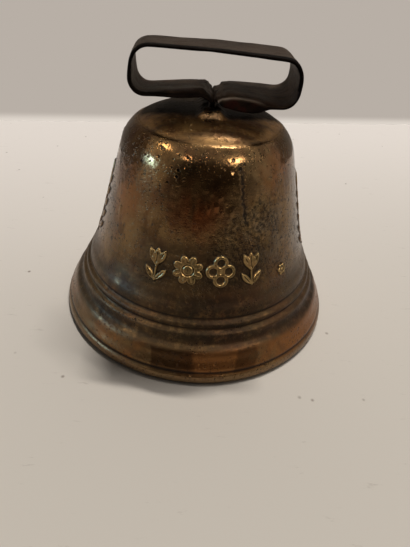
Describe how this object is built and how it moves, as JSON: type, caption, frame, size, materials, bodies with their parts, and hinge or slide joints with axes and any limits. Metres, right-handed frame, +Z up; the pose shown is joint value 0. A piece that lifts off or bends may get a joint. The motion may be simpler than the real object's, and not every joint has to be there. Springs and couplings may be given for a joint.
{
  "type": "cow bell",
  "caption": "Cast brass cow bell with a flared lip and turned beads, a flat iron band loop on its crown for a collar, and a forged iron clapper inside.",
  "frame": {"origin": "centre of the mouth, in the plane that the lip stands on", "axes": "+Z up the bell's axis to the loop, X along the loop's long side and along the clapper's hinge, Y the way the collar passes"},
  "size_m": [0.11, 0.11, 0.0977],
  "materials": {
    "brass_cast": "old cast brass with a dark brown patina, worn bright on the lip and the beads",
    "iron_band": "hammered flat iron, dark grey-brown, dull sheen",
    "iron_rivet": "forged iron, dark and slightly rusty",
    "iron_clapper": "forged iron, dark, worn bright where it strikes"
  },
  "bodies": {
    "bell": {"bell_casting": "brass_cast", "collar_strap": "iron_band", "hanger_pin": "iron_rivet"},
    "clapper": {"clapper": "iron_clapper"}
  },
  "joints": [
    {"name": "clapper_swing", "type": "hinge", "parent": "bell", "child": "clapper", "pos_m": [0, 0, 0.0664], "axis": [1, 0, 0], "range_deg": [-34, 34]}
  ]
}
